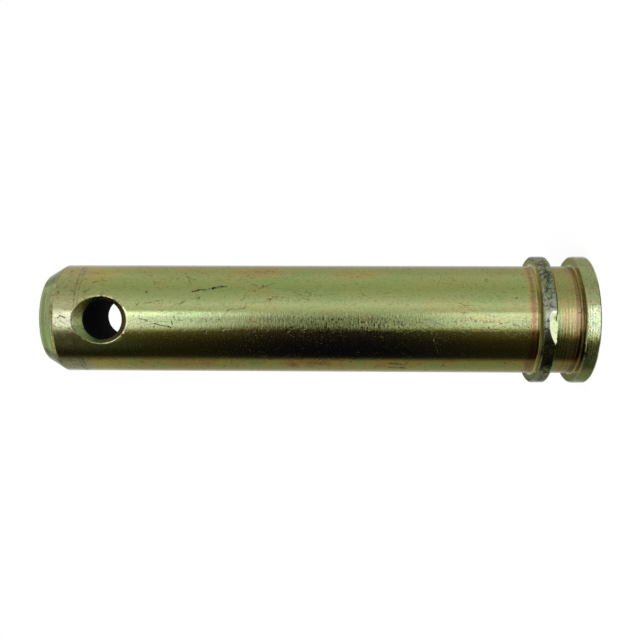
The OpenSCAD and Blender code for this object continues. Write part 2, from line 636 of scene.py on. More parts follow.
class Shader:
    """A node tree, with one method that adds any node."""

    def __init__(self, owner):
        owner.use_nodes = True
        self.tree = owner.node_tree
        self.tree.nodes.clear()

    def node(self, kind, settings=None, inputs=None, output=0):
        """Adds a node: its settings first, then its sockets' values or links.

        A ramp's stops are (position, colour) pairs under the key stops."""
        node = self.tree.nodes.new(kind)
        for key, value in (settings or {}).items():
            if key == "stops":
                self.set_stops(node.color_ramp.elements, value)
            else:
                setattr(node, key, value)
        for key, value in (inputs or {}).items():
            if isinstance(value, Value):
                self.tree.links.new(value.socket, node.inputs[key])
            else:
                node.inputs[key].default_value = value
        if not len(node.outputs):
            return None
        return Value(self, node.outputs[output])

    @staticmethod
    def set_stops(elements, stops):
        while len(elements) < len(stops):
            elements.new(1.0)
        for element, (place, shade) in zip(elements, stops):
            element.position = place
            element.color = (*shade, 1.0)

    def coordinates(self):
        """The object's own coordinates in millimetres: the vector and its parts."""
        metres = self.node("ShaderNodeTexCoord", output="Object")
        vector = self.node(
            "ShaderNodeVectorMath", {"operation": "SCALE"},
            {0: metres, "Scale": 1 / MM})
        parts = [
            self.node("ShaderNodeSeparateXYZ", inputs={0: vector}, output=axis)
            for axis in "XYZ"
        ]
        return vector, *parts

    def noise(self, vector, scale, detail=2.0, roughness=0.5, stretch=(1, 1, 1),
              shift=0.0):
        """Noise from 0 to 1 with its own scale along each axis."""
        placed = self.node(
            "ShaderNodeVectorMath", {"operation": "MULTIPLY_ADD"},
            {0: vector, 1: stretch, 2: (shift, shift, shift)})
        return self.node(
            "ShaderNodeTexNoise", {"noise_dimensions": "3D"},
            {"Vector": placed, "Scale": scale, "Detail": detail,
             "Roughness": roughness})

    def step(self, value, low, high):
        """A smooth step from 0 at low to 1 at high, or the other way round."""
        ends = {"From Min": min(low, high), "From Max": max(low, high)}
        if low > high:
            ends.update({"To Min": 1.0, "To Max": 0.0})
        return self.node(
            "ShaderNodeMapRange", {"interpolation_type": "SMOOTHSTEP"},
            {"Value": value, **ends})

    def band(self, value, low, high, soft):
        """1 between low and high, with soft edges."""
        return (self.step(value, low - soft, low + soft)
                * self.step(value, high + soft, high - soft))

    def mix(self, share, first, second, kind="MIX"):
        """A mix of two colours, or their sum or product by kind."""
        return self.node(
            "ShaderNodeMix",
            {"data_type": "RGBA", "blend_type": kind, "clamp_factor": True},
            {0: share, 6: self.shade(first), 7: self.shade(second)}, output=2)

    @staticmethod
    def shade(value):
        return value if isinstance(value, Value) else (*value, 1.0)

    def ramp(self, value, stops):
        """A colour ramp through (position, colour) stops."""
        return self.node(
            "ShaderNodeValToRGB", {"stops": stops}, {"Fac": value})

    @staticmethod
    def reach(across, along):
        """Length of a step across and along in the plane."""
        return (across * across + along * along) ** 0.5

    def distance(self, x, y, centre):
        """Distance of (x, y) from a point in the plane."""
        return self.reach(x - centre[0], y - centre[1])

    def strokes(self, vector, degrees, shift):
        """Short thin strokes that lean by an angle from the pin's axis.

        The coordinates are turned about Y, and a noise drawn out along one of them
        shows only where it comes near its top."""
        turned = self.node(
            "ShaderNodeMapping", {},
            {"Vector": vector, "Rotation": (0.0, math.radians(degrees), 0.0)})
        drawn_out = self.noise(turned, 1.0, 1.0, 0.5, (2.6, 0.5, 0.35), shift)
        return self.step(drawn_out, 0.66, 0.74)

    def scratch(self, x, z, start, end, width):
        """1 on a straight scratch between two points of the (x, z) plane, 0 off it.

        The place along the scratch is the clamped projection on it, and the mask
        falls off with the distance from there."""
        run = (end[0] - start[0], end[1] - start[1])
        squared = run[0] ** 2 + run[1] ** 2
        across, along = x - start[0], z - start[1]
        share = self.node(
            "ShaderNodeMath", {"operation": "DIVIDE", "use_clamp": True},
            {0: across * run[0] + along * run[1], 1: squared})
        away = self.reach(across - share * run[0], along - share * run[1])
        return self.step(away, width, 0.2 * width)


# Marks on the side that the camera sees, as places (x, z) in millimetres.
# Each scratch has its two ends, its width, how dark it is and how deep it is cut.
SCRATCHES = (
    ((7.22, 100.71), (7.65, 97.6), 0.28, 1.10, 0.014),
    ((7.65, 97.6), (7.95, 95.6), 0.26, 1.00, 0.010),
    ((7.95, 95.6), (8.49, 92.26), 0.34, 1.10, 0.018),
    ((11.9, 103.3), (8.9, 101.0), 0.20, 0.35, 0.0),
    ((6.6, 99.6), (5.25, 98.5), 0.20, 0.35, 0.0),
    ((-0.43, 93.9), (2.56, 91.4), 0.20, 0.40, 0.0),
    ((2.56, 91.6), (3.07, 87.4), 0.20, 0.36, 0.0),
    ((3.0, 87.5), (4.3, 86.7), 0.18, 0.32, 0.0),
    ((4.3, 86.7), (4.81, 81.2), 0.18, 0.30, 0.0),
    ((5.04, 88.2), (6.52, 86.8), 0.20, 0.35, 0.0),
    ((0.5, 134.3), (1.0, 133.5), 0.22, 0.80, 0.012),
    ((1.0, 133.5), (0.5, 132.3), 0.20, 0.70, 0.012),
    ((-0.2, 133.8), (-0.6, 132.6), 0.18, 0.50, 0.010),
    ((7.79, 76.6), (6.33, 68.8), 0.16, 0.30, 0.0),
    ((6.33, 68.8), (6.59, 64.1), 0.16, 0.28, 0.0),
    ((-4.95, 85.3), (-5.98, 83.0), 0.15, 0.0, 0.010),
    ((-2.95, 39.3), (-4.73, 40.2), 0.17, 0.0, 0.017),
    ((-4.73, 40.2), (-7.87, 39.0), 0.16, 0.0, 0.015),
    ((-5.03, 48.4), (-7.90, 44.7), 0.15, 0.0, 0.010),
    ((0.35, 113.4), (-0.2, 111.4), 0.26, 0.55, 0.010),
    ((-1.0, 114.6), (-0.2, 110.6), 0.20, 0.35, 0.0),
    ((-0.9, 109.8), (-1.6, 106.3), 0.24, 0.70, 0.012),
    ((-1.6, 106.3), (-2.0, 105.6), 0.26, 0.80, 0.012),
    ((-0.2, 110.0), (-0.4, 106.9), 0.20, 0.40, 0.0),
    ((-0.3, 105.4), (-1.1, 105.2), 0.22, 0.80, 0.012),
    ((1.3, 97.3), (-0.6, 98.9), 0.20, 0.35, 0.0),
    ((0.6, 42.0), (-1.4, 37.4), 0.20, 0.45, 0.0),
    ((-0.2, 27.9), (0.1, 25.4), 0.20, 0.40, 0.0),
    ((-11.0, 51.3), (-11.3, 47.0), 0.32, 0.70, 0.012),
    ((-12.2, 51.0), (-12.4, 46.6), 0.30, 0.60, 0.010),
    ((6.9, 128.1), (7.6, 126.9), 0.50, 0.42, 0.0),
    ((7.4, 131.5), (7.1, 130.7), 0.45, 0.36, 0.0),
    ((9.5, 126.3), (9.7, 124.7), 0.30, 0.45, 0.0),
    ((8.0, 133.4), (8.4, 132.5), 0.36, 0.32, 0.0),
    ((8.1, 84.0), (8.5, 82.6), 0.34, 0.55, 0.0),
    ((8.5, 82.2), (9.3, 80.3), 0.26, 0.40, 0.0),
    ((4.6, 81.0), (5.2, 80.9), 0.34, 0.55, 0.0),
    ((4.0, 113.0), (4.9, 108.6), 0.24, 0.40, 0.0),
    ((7.0, 75.2), (5.9, 71.5), 0.20, 0.36, 0.0),
    ((-4.6, 133.8), (-5.4, 131.6), 0.60, 0.30, 0.0),
)
# Each pit has its place and its radius.
PITS = (
    (6.87, 134.6, 0.40), (5.75, 19.8, 0.30), (-10.5, 60.7, 0.34),
    (-11.5, 37.2, 0.36), (8.6, 83.0, 0.34), (7.0, 112.2, 0.40),
)
# Each stain of thicker film has its place, its half widths and its strength.
STAINS = (
    (11.9, 84.5, 1.6, 9.0, 0.40), (11.4, 128.0, 2.0, 7.0, 0.34),
    (12.9, 108.0, 0.9, 14.0, 0.22), (11.3, 60.0, 1.3, 9.0, 0.18),
    (-10.8, 98.0, 1.8, 7.0, 0.20), (-11.2, 72.0, 1.6, 9.0, 0.26),
    (-11.0, 104.0, 1.4, 5.0, 0.16), (-10.5, 86.0, 1.2, 3.0, -0.22),
    (-11.4, 30.0, 1.6, 9.0, -0.12), (-6.0, 138.2, 3.0, 2.2, -0.40),
)
# Heights or widths on the pin in millimetres; a pair is where something starts and ends
WORKED_LENGTH = (50.0, 80.0)
TRACK_WIDTH = (-3.6, 1.4)
LOWER_LINE, UPPER_LINE, LINE_SOFTNESS = (129.3, 129.6), (130.2, 130.55), 0.26
# Heights over which the painted shade on the hole's mouth comes in
MOUTH_SHADE = (126.5, 128.5)
UPPER_SIDE = (1.5, 4.5)
GROOVE_BROWN, GROOVE_TOP = (7.0, 5.0), (8.0, 9.4)
# Each noise has its scale, detail, roughness, stretch along the axes and shift.
NOISES = {
    "streak": (1.0, 3.0, 0.55, (0.17, 0.17, 0.05), 0.0),
    "drawn": (1.0, 3.0, 0.6, (1.1, 1.1, 0.08), 17.0),
    "cloud": (0.22, 4.0, 0.6, (1, 1, 0.6), 13.0),
    "blot": (0.30, 2.0, 0.5, (1, 1, 0.8), 19.0),
    "mottle": (1.1, 3.0, 0.6, (1, 1, 0.8), 5.0),
    "fine": (1.0, 2.0, 0.6, (3.4, 3.4, 1.9), 31.0),
    "ticks": (1.0, 3.0, 0.62, (0.8, 0.8, 2.1), 7.0),
    "chatter": (1.0, 2.0, 0.5, (0.30, 0.30, 2.0), 29.0),
    "bands": (1.0, 3.0, 0.62, (0.03, 0.03, 0.9), 3.0),
    "rings": (1.0, 2.0, 0.6, (0.05, 0.05, 3.2), 23.0),
    "dots": (1.0, 2.0, 0.5, (2.3, 2.3, 1.5), 53.0),
    "dash": (1.0, 2.0, 0.5, (2.2, 2.2, 0.4), 37.0),
    "grit": (1.0, 2.0, 0.6, (1.5, 1.5, 2.4), 47.0),
}


class Zones:
    """Where each part of the pin lies, as masks from 0 to 1; some mark where shade is
    painted.
    """

    def __init__(self, t, s):
        to_mm = 1 / MM
        self.vector, x, y, z = t.coordinates()
        self.x, self.z = x, z
        radius = t.reach(x, y)
        shank, flange = s.shank_radius * to_mm, s.flange_radius * to_mm
        hole, hole_z = s.hole_radius * to_mm, s.hole_height * to_mm
        lead_z = (s.overall_length - s.lead_in_length) * to_mm
        groove_z = s.head_thickness * to_mm
        collar_z = groove_z + s.groove_width * to_mm
        seat_z = collar_z + s.collar_thickness * to_mm
        from_hole = t.distance(x, z, (0.0, hole_z))
        widening = math.tan(s.sink_half_angle)
        sink_start = shank - s.sink_width * to_mm / widening
        off_cone = from_hole - hole - (abs(y) - sink_start) * widening
        off_mouth = off_cone + abs(radius - shank)
        self.front = t.step(y, 1.0, -1.0)
        # Painted shade: the cross hole's wall, which is shown near-black.
        self.bore_shade = t.step(from_hole, hole + 0.14, hole + 0.02)
        self.sink = (t.step(radius, shank - 0.03, shank - 0.12)
                     * t.step(from_hole, hole + 2.3, hole + 2.1))
        self.sink_low = self.sink * t.step(x, 2.0, -1.0) * t.step(z, hole_z, hole_z + 4.0)
        self.sink_far = self.sink * t.step(z, hole_z + 2.5, hole_z - 3.0)
        self.mouth = t.step(abs(off_mouth), 0.24, 0.08) * t.step(
            from_hole, hole + 2.6, hole + 2.3)
        self.lead_in = t.step(z, lead_z - 0.1, lead_z + 0.35)
        self.lead_edge = t.band(z, lead_z - 0.1, lead_z + 1.1, 0.5)
        self.tip = t.step(z, lead_z - 10.0, lead_z - 5.0)
        low = t.step(radius, flange - 0.4, flange - 0.7)
        self.groove = t.band(z, groove_z + 0.05, collar_z - 0.05, 0.05) * low
        # Painted shade: the groove's corners, mostly next to the collar, are darkened and
        # browned as the shade in them.
        self.corners = (t.step(z, groove_z + 0.50, groove_z + 0.12) * 0.2
                        + t.step(z, collar_z - 0.45, collar_z - 0.1)) * self.groove
        self.collar = (t.band(z, collar_z - 0.02, seat_z + 0.02, 0.02)
                       * t.step(radius, flange - 0.95, flange - 0.75))
        self.collar_middle = t.band(z, collar_z + 1.0, seat_z - 0.9, 0.7)
        self.collar_rubbed = (t.band(x, 0.8, 3.4, 0.8)
                              - t.band(x, -5.5, -0.8, 0.8)) * self.front
        self.head = t.step(z, groove_z + 0.02, groove_z - 0.05)
        # Painted shade: a dark line along the front of the head's inner face, next to the
        # groove.
        self.head_face_shade = (t.band(z, groove_z - 0.16, groove_z + 0.06, 0.05) * self.front
                          * t.step(radius, shank + 0.7, shank + 1.1)
                          * t.step(abs(x + 1.5), 12.0, 8.0))
        self.seat = t.band(z, seat_z - 0.02, seat_z + 0.75, 0.12)
        # Painted shade: the seat's inner corner next to the shank, weaker towards the
        # upper and lower sides.
        self.seat_corner_shade = (self.seat * t.step(radius, shank + 0.75, shank + 0.4)
                            * (1 - t.step(abs(x), 6.0, 9.5) * 0.7))
        self.beside_seat = t.band(z, seat_z + 1.2, seat_z + 2.2, 1.2)
        place, normal = collar_knock(s)
        facing = [float(part) for part in normal]
        above_knock = (x * facing[0] + y * facing[1] + z * facing[2]
                       - float(place @ normal) * to_mm)
        self.knock = (t.step(above_knock, -0.05, -0.015) * t.step(x, 2.2, 0.2)
                      * t.step(z, collar_z - 0.06, collar_z - 0.02)
                      * t.step(radius, flange - 1.6, flange - 1.4))
        self.turned = t.node(
            "ShaderNodeMath", {"operation": "MAXIMUM"},
            {0: self.lead_in, 1: self.groove})
        self.shank = t.step(z, seat_z + 0.6, seat_z + 1.0) * (1 - self.lead_in)
        self.worked = t.band(z, *WORKED_LENGTH, 14.0)
        self.track = t.band(x, *TRACK_WIDTH, 1.3) * self.front * self.shank


def marks(t, zones, entries, kind):
    """Adds up marks on the front: scratches, pits or stains, by their tables.

    Gives how dark they are together, and for scratches also how deep. A pit falls
    off with the distance from its centre, and a stain with the distance in half
    widths. A noise makes their edges uneven."""
    x, z = zones.x, zones.z
    wobble = t.noise(zones.vector, 0.7, 2.0, 0.5, (1, 1, 1), 61.0) - 0.5
    x, z = x + wobble * 0.7, z + wobble * 0.7
    dark, deep = 0.0, 0.0
    for entry in entries:
        if kind == "scratch":
            start, end, width, darkness, depth = entry
            mask = t.scratch(x, z, start, end, width)
            dark = dark + mask * darkness
            deep = deep + mask * depth if depth else deep
        elif kind == "pit":
            dark = dark + t.step(t.distance(x, z, entry[:2]), entry[2], 0.4 * entry[2])
        else:
            across = (zones.x - entry[0]) / entry[2]
            along = (zones.z - entry[1]) / entry[3]
            away = t.reach(across, along) + wobble * 1.4
            dark = dark + t.step(away, 1.3, 0.2) * entry[4]
    return dark * zones.front, deep * zones.front if kind == "scratch" else None


def film_thickness(t, zones, noises):
    """How thick the passivation is, from 0 for green to 1 for brown.

    Noises move it about 0.30, and the stains, the seat, the tip, the groove and the
    hole's mouth each add their share."""
    front_stain, _ = marks(t, zones, STAINS, "stain")
    lower_side = t.step(zones.x, -8.6, -10.2) * zones.shank
    amount = (0.30 + (noises["streak"] - 0.5) * 0.65 + (noises["cloud"] - 0.5) * 0.4
              + (noises["drawn"] - 0.5) * 0.5 + (noises["mottle"] - 0.5) * 0.3)
    amount = amount + front_stain + lower_side * (0.22 + (noises["blot"] - 0.5) * 1.2)
    amount = amount + zones.beside_seat * 1.16 + zones.seat * 0.20 + zones.tip * 0.16
    patchy = ((noises["rings"] - 0.5) * 0.8 + (noises["bands"] - 0.5) * 1.2
              + (noises["blot"] - 0.5) * 1.6)
    amount = amount + zones.lead_edge * 0.45 + zones.lead_in * (patchy - 0.46)
    amount = amount + zones.groove * (noises["bands"] - 0.42) * 2.2
    upper = t.step(zones.x, *UPPER_SIDE)
    amount = amount + zones.groove * (
        0.08 + t.step(zones.z, *GROOVE_BROWN) * (0.78 - upper * 0.34)
        + t.step(zones.z, *GROOVE_TOP) * (upper * 0.36 - 0.22))
    # Painted shade: the groove's corners are browned.
    amount = amount + zones.corners * 0.30
    amount = amount + zones.head * (noises["mottle"] - 0.5) * 0.9
    return amount + zones.sink_far * 0.75 - zones.sink * 0.25


def plated_steel(f, s):
    """Zinc plate with a yellow passivation over ground and turned steel.

    The film's colour follows one number, its thickness: green, olive, gold, tan and
    brown in turn. Noise drawn out along the pin and round it moves that number, and
    so do places such as the seat's corner. Rings, grind marks, pits and scratches
    are one height that feeds a Bump."""
    material = bpy.data.materials.new("plated_steel")
    t = Shader(material)
    zones = Zones(t, s)
    vector = zones.vector
    noises = {name: t.noise(vector, *entry) for name, entry in NOISES.items()}
    mottle, fine, ticks = noises["mottle"], noises["fine"], noises["ticks"]

    film = t.ramp(film_thickness(t, zones, noises), [
        (0.0, f.film_green), (0.34, f.film_olive), (0.56, f.film_gold),
        (0.78, f.film_tan), (1.0, f.film_brown)])

    # Wear, stains and soiling, and painted shade in the countersink and on the hole's
    # mouth
    dots = t.step(noises["dots"], 0.65, 0.76) * t.step(noises["cloud"], 0.42, 0.58)
    dashes = t.step(noises["dash"], 0.63, 0.75) * t.step(noises["cloud"], 0.42, 0.60)
    dark_marks, cuts = marks(t, zones, SCRATCHES, "scratch")
    pit_marks, _ = marks(t, zones, PITS, "pit")
    hair = t.noise(vector, 0.16, 1.0, 0.4, (1, 1, 0.6), 71.0)
    hair = t.step(abs(hair - 0.5), 0.0060, 0.0015) * t.step(mottle, 0.48, 0.62)
    strokes = t.strokes(vector, 38.0, 91.0) + t.strokes(vector, -24.0, 97.0)
    strokes = strokes * t.step(noises["cloud"], 0.40, 0.56) * zones.shank
    crackle = t.noise(vector, 0.5, 1.5, 0.5, (1, 1, 0.6), 83.0)
    crackle = (t.step(abs(crackle - 0.5), 0.060, 0.015) * t.step(mottle, 0.52, 0.64)
               * (zones.track * 0.7 + 0.3) * (1 - zones.turned))
    tick_marks = t.step(ticks, 0.54, 0.68) * (zones.worked * 0.7 + 0.12) * zones.track
    grit = t.step(noises["grit"] + (noises["cloud"] - 0.5) * 0.3, 0.52, 0.66) * (
        (zones.worked * 0.8 + 0.34) * zones.track + zones.head * 0.4)
    streaks = (t.step(noises["rings"], 0.50, 0.66)
               + t.step(noises["bands"], 0.46, 0.62)) * zones.lead_in
    witness = (t.band(zones.z, *LOWER_LINE, LINE_SOFTNESS) * 0.8
               + t.band(zones.z, *UPPER_LINE, LINE_SOFTNESS))
    witness = (witness * (t.step(mottle, 0.36, 0.62) * 0.8 + 0.2) * zones.shank
               * (1 - zones.sink))
    scale = (t.noise(vector, 1.25, 8.0, 0.78, (1, 1, 1.0), 41.0)
             + zones.collar_middle * 0.06 + (noises["blot"] - 0.5) * 0.35
             - zones.collar_rubbed * 0.15)
    scale = zones.collar * t.step(scale, 0.44, 0.62) * (1 - zones.knock)
    # Painted shade: the countersink darker on its upper side and a little on its side
    # towards the head, and the hole's mouth darker towards the tip.
    sink_shade = (zones.sink * t.step(zones.x, *UPPER_SIDE) * 0.6 + zones.sink_far * 0.22
             + zones.mouth * t.step(zones.z, *MOUTH_SHADE))
    # Painted shade: a darkening over the upper half of the countersink, broken up by a
    # mottle.
    mottled_sink_shade = zones.sink * t.step(mottle, 0.46, 0.60) * t.step(zones.x, -1.5, 1.5)
    lead_dirt = zones.lead_edge * t.step(
        mottle * 0.6 + noises["blot"] * 0.5 + fine * 0.3, 0.68, 0.86)

    tip_zinc = zones.tip * (0.28 + t.step(zones.x, -8.0, -11.0) * 0.56
                            - t.step(abs(zones.x + 6.0), 3.5, 1.0) * zones.lead_in * 0.28)
    rim_zinc = zones.collar * (1 - zones.knock) * 0.7 + zones.knock * 0.82
    tone = t.mix(rim_zinc + zones.head * 0.28 + tip_zinc, film, f.bare_zinc)
    tone = t.mix(t.step(fine, 0.48, 0.74) * 0.30 + streaks * 0.24, tone, f.scale)
    broken = t.step(mottle, 0.36, 0.56) * 0.6 + 0.4
    tone = t.mix(dots * 0.72 + dashes * 0.45 + pit_marks * 0.6, tone, f.scale)
    tone = t.mix(dark_marks * broken + hair * 0.45 + crackle * 0.5 + strokes * 0.35,
                 tone, f.scale)
    tone = t.mix(tick_marks * 0.95 + grit * 0.9 + witness * 0.65 + mottled_sink_shade * 0.4, tone,
                 f.scale)
    # Painted shade: the seat's inner corner, the groove's corners and the front of the
    # head's inner face are darkened, and the whole groove a little.
    tone = t.mix(zones.seat_corner_shade * 0.70 + zones.corners * 0.5 + zones.groove * 0.20
                 + zones.head_face_shade * 0.82, tone, f.dirt_and_shade)
    # Painted shade in the countersink and on the hole's mouth, and soiling on the lead
    # edge.
    tone = t.mix(sink_shade * 0.75 + lead_dirt * 0.7, tone, f.dirt_and_shade)
    tone = t.mix(zones.mouth * t.step(mottle, 0.44, 0.60) * 0.5, tone, f.bare_zinc)
    tone = t.mix(scale * 0.78 + zones.collar * (1 - zones.knock) * 0.12, tone, f.scale)

    roughness = (f.gloss_roughness + (mottle - 0.5) * 0.10 + (fine - 0.5) * 0.08
                 + zones.turned * (f.turned_roughness - f.gloss_roughness)
                 + scale * (f.scale_roughness - f.gloss_roughness)
                 + zones.sink * 0.12 + (zones.sink_low + zones.sink_far) * 0.20
                 + witness * 0.12
                 + zones.tip * (0.02 + t.step(noises["blot"], 0.46, 0.66) * 0.12)
                 + dots * 0.12 + dark_marks * 0.2 + cuts * 8 + hair * 0.2
                 + crackle * 0.05 + strokes * 0.16)

    height = ((ticks - 0.5) * (0.016 + zones.worked * 0.014) * zones.shank
              + (noises["chatter"] - 0.5) * (0.006 + zones.worked * 0.022) * zones.shank
              + (fine - 0.5) * 0.004 * (1 - zones.sink)
              + (noises["rings"] - 0.5) * (0.014 * zones.lead_in + 0.004 * zones.groove)
              + (noises["bands"] - 0.5) * 0.011 * zones.groove
              + ((mottle - 0.5) * 0.030 + (noises["rings"] - 0.5) * 0.012) * zones.head
              - cuts - crackle * 0.014)
    bump = t.node("ShaderNodeBump", {}, {
        "Strength": 1.0, "Distance": MM, "Height": height})

    plate = t.node("ShaderNodeBsdfPrincipled", {}, {
        "Base Color": tone, "Metallic": 1.0, "Roughness": roughness, "Normal": bump})
    # Painted shade: the cross hole's wall is a near-black, barely reflecting surface that
    # stands in for the shade inside the hole.
    bore_shade_surface = t.node("ShaderNodeBsdfPrincipled", {}, {
        "Base Color": (*f.bore_shade, 1.0), "Roughness": 0.9, "Specular IOR Level": 0.05})
    surface = t.node("ShaderNodeMixShader", {}, {
        0: zones.bore_shade, 1: plate, 2: bore_shade_surface})
    t.node("ShaderNodeOutputMaterial", {}, {"Surface": surface})
    return material


# Stage

WHITE = (1, 1, 1, 1)
WORLD_CAST = 0.85
# Distance from the pin in millimetres over which the floor turns all white, and how
# white it shows next to the pin
FLOOR_FADE = (60.0, 200.0)
FLOOR_GLOW = 0.84
FLOOR_RADIUS, FLOOR_HEIGHT, FLOOR_COLUMNS = 4.0, -0.1 * MM, 64
SURROUND_LOW, SURROUND_HIGH, SURROUND_COLUMNS = -0.6, 0.75, 96
SENSOR_WIDTH = 36.0
NEAR_CLIP = 0.01
LAMP_AIM = (0, 0, 0.05)
# Each lamp has its name, its place, its size and its power.
LAMPS = (
    ("soft_top", (-0.25, -0.45, 0.75), 0.6, 5.0),
    ("soft_side", (0.6, -0.3, 0.45), 0.5, 2.0),
)


def shown_white(t):
    """1 for rays that should see the white ground: camera, glossy, transmission."""
    seen = [
        t.node("ShaderNodeLightPath", output=ray)
        for ray in ("Is Camera Ray", "Is Glossy Ray", "Is Transmission Ray")
    ]
    return seen[0] + seen[1] + seen[2]


def white_world():
    """White where it is seen, and a little dimmer as a light on the floor."""
    world = bpy.data.worlds.new("studio")
    bpy.context.scene.world = world
    t = Shader(world)
    seen = t.node("ShaderNodeBackground", {}, {"Color": WHITE, "Strength": 1.0})
    cast = t.node("ShaderNodeBackground", {}, {"Color": WHITE, "Strength": WORLD_CAST})
    both = t.node("ShaderNodeMixShader", {}, {0: shown_white(t), 1: cast, 2: seen})
    t.node("ShaderNodeOutputWorld", {}, {"Surface": both})


def floor_material(look):
    """Pale floor that shows as white and still takes the pin's soft shadow.

    Close to the pin part of what is seen is lit paint; further off it is all white."""
    material = bpy.data.materials.new("pale_floor")
    t = Shader(material)
    _, x, y, _ = t.coordinates()
    far = t.step(t.distance(x, y, (0.0, 0.0)), *FLOOR_FADE)
    paint = t.node("ShaderNodeBsdfDiffuse", {}, {"Color": (*look.floor, 1)})
    glow = t.node("ShaderNodeEmission", {}, {"Color": WHITE, "Strength": 1.0})
    seen = t.node("ShaderNodeMixShader", {}, {
        0: shown_white(t) * (FLOOR_GLOW + far * (1 - FLOOR_GLOW)), 1: paint, 2: glow})
    t.node("ShaderNodeOutputMaterial", {}, {"Surface": seen})
    return material


# The cards round the pin: angle in degrees, 0 towards the camera and growing towards
# +X, then the brightness and the tint in red and in blue.
CARDS = (
    (-180, 0.25, 1.00, 0.75), (-174, 0.17, 1.00, 0.75), (-166, 0.20, 1.00, 0.80),
    (-158, 0.70, 1.00, 1.00), (-148, 0.40, 1.00, 1.00), (-135, 0.30, 1.00, 0.88),
    (-116, 0.245, 1.08, 0.80), (-102, 0.215, 1.12, 0.80), (-97, 0.16, 1.15, 0.80),
    (-91.5, 0.055, 1.20, 0.70), (-86.5, 0.016, 1.20, 0.70), (-68, 0.013, 1.30, 0.80),
    (-47, 0.022, 1.50, 0.42), (-37, 0.043, 1.48, 0.40), (-28, 0.078, 1.42, 0.50),
    (-14, 0.14, 1.25, 0.70), (14, 0.57, 1.05, 1.20), (22, 0.62, 1.05, 1.18),
    (31, 0.75, 1.05, 1.25), (40, 0.62, 1.02, 1.22), (49, 0.52, 0.98, 1.10),
    (68, 0.43, 0.97, 0.92), (90, 0.49, 0.98, 1.00), (102, 0.51, 1.00, 1.05),
    (117, 0.43, 1.06, 1.00), (136, 0.41, 1.12, 1.00), (150, 0.42, 1.05, 1.00),
    (160, 0.75, 1.00, 1.10), (170, 0.36, 1.00, 0.80), (180, 0.25, 1.00, 0.75),
)
# The long soft light: height in millimetres, its brightness there and its tint in
# blue. The camera stands in front of its middle.
STRIP = (
    (-152, 1.90, 1.60), (-142, 1.30, 1.50), (-137, 0.30, 1.50), (-125, 0.30, 1.50),
    (-114, 1.30, 1.50), (-98, 1.08, 1.50), (-75, 1.12, 1.50),
    (-50, 1.08, 1.45), (-24, 0.70, 1.35), (1, 0.49, 1.25), (27, 0.39, 1.15),
    (52, 0.25, 1.10), (90, 0.25, 1.10), (116, 0.30, 1.15), (141, 0.43, 1.30),
    (166, 0.64, 1.40), (192, 0.92, 1.50), (230, 1.12, 1.58), (300, 1.52, 1.64),
)
# The bare edge of that light, along its upper side
HOT_EDGE = (
    (-150, 0.10, 1.4), (-60, 0.20, 1.4), (0, 0.12, 1.3), (52, 0.16, 1.3),
    (110, 0.22, 1.3), (160, 0.42, 1.4), (200, 0.62, 1.4), (300, 0.60, 1.5),
)
PEAK = 1.9
# Edges of what the surround shows, by height in millimetres and angle in degrees; a
# pair is where an edge starts and where it ends. The camera stands at LENS_HEIGHT.
LENS_HEIGHT, LENS_SHADE = 66, (30, 150)
DARK_END, DARK_START = (5, -12), (-100, -84)
DARK_GAP = (-142, -118)
FLARE, FLARE_WIDENING = (-136, -152), 0.60
LIGHT_FOOT = (-190, -260)
HOT_START, HOT_END = (1.0, 11.0), (16.5, 13.5)
LIGHT_LOW, LIGHT_HIGH = (-26, -10), (17.0, 15.0)
GLARE_TURN, GLARE_HEIGHT = (-20, -12), (-20, 40)
FILL_TURN, FILL_HIGH, FILL_LOW = (-80, -52), (215, 290), (-142, -150)
FLARE_SIDE = (-84, -100)
BACK_TURN, BACK_HEIGHT = (95, 108), (260, 390)
TOP_TURN, TOP_HEIGHT = (60, 95), (400, 460)
STRIP_LOW, HOT_LOW, LIGHT_TOP = -152, -150, 350
CEILING, GROUND, GROUND_FRONT = (700, 740), (-560, -590), (60, 40)
# How far the light's lower edge moves: from one height to another, how soft, degrees
LOW_EDGE_RISE = (150, 260)
LOW_EDGE_SHIFTS = ((-5, 45, 20, 4), (-143, -110, 3, -9), (-122, -108, 3, -9))
# Tints of those places
FOOT_TINT = (0.62, 0.66, 0.62)
SHADE_TINT, SHADE_GLOW = (0.17, 0.105, 0.20), (0.0006, 0.0012, 0.0065)
FLARE_TINT, LOW_EDGE_TINT = (1.0, 1.0, 1.25), (1.0, 0.88, 0.32)
FILL_TINT, FLARE_SIDE_TINT = (0.505, 0.556, 0.45), (0.65, 0.75, 0.70)
BACK_GLOW, TOP_TINT = (0.95, 1.0, 0.86), (0.86, 0.88, 0.82)
CEILING_TINT, GROUND_FRONT_TINT = (0.60 / PEAK,) * 3, (1.75 / PEAK,) * 3
GROUND_TINT = (0.085, 0.085, 0.065)


def levels(t, value, table, low, high):
    """A ramp through (place, brightness, blue) entries, as a share of the peak.

    Red and green have the brightness itself and blue that many times as much."""
    return t.ramp((value - low) / (high - low), [
        ((place - low) / (high - low),
         (level / PEAK, level / PEAK, level * blue / PEAK))
        for place, level, blue in table])


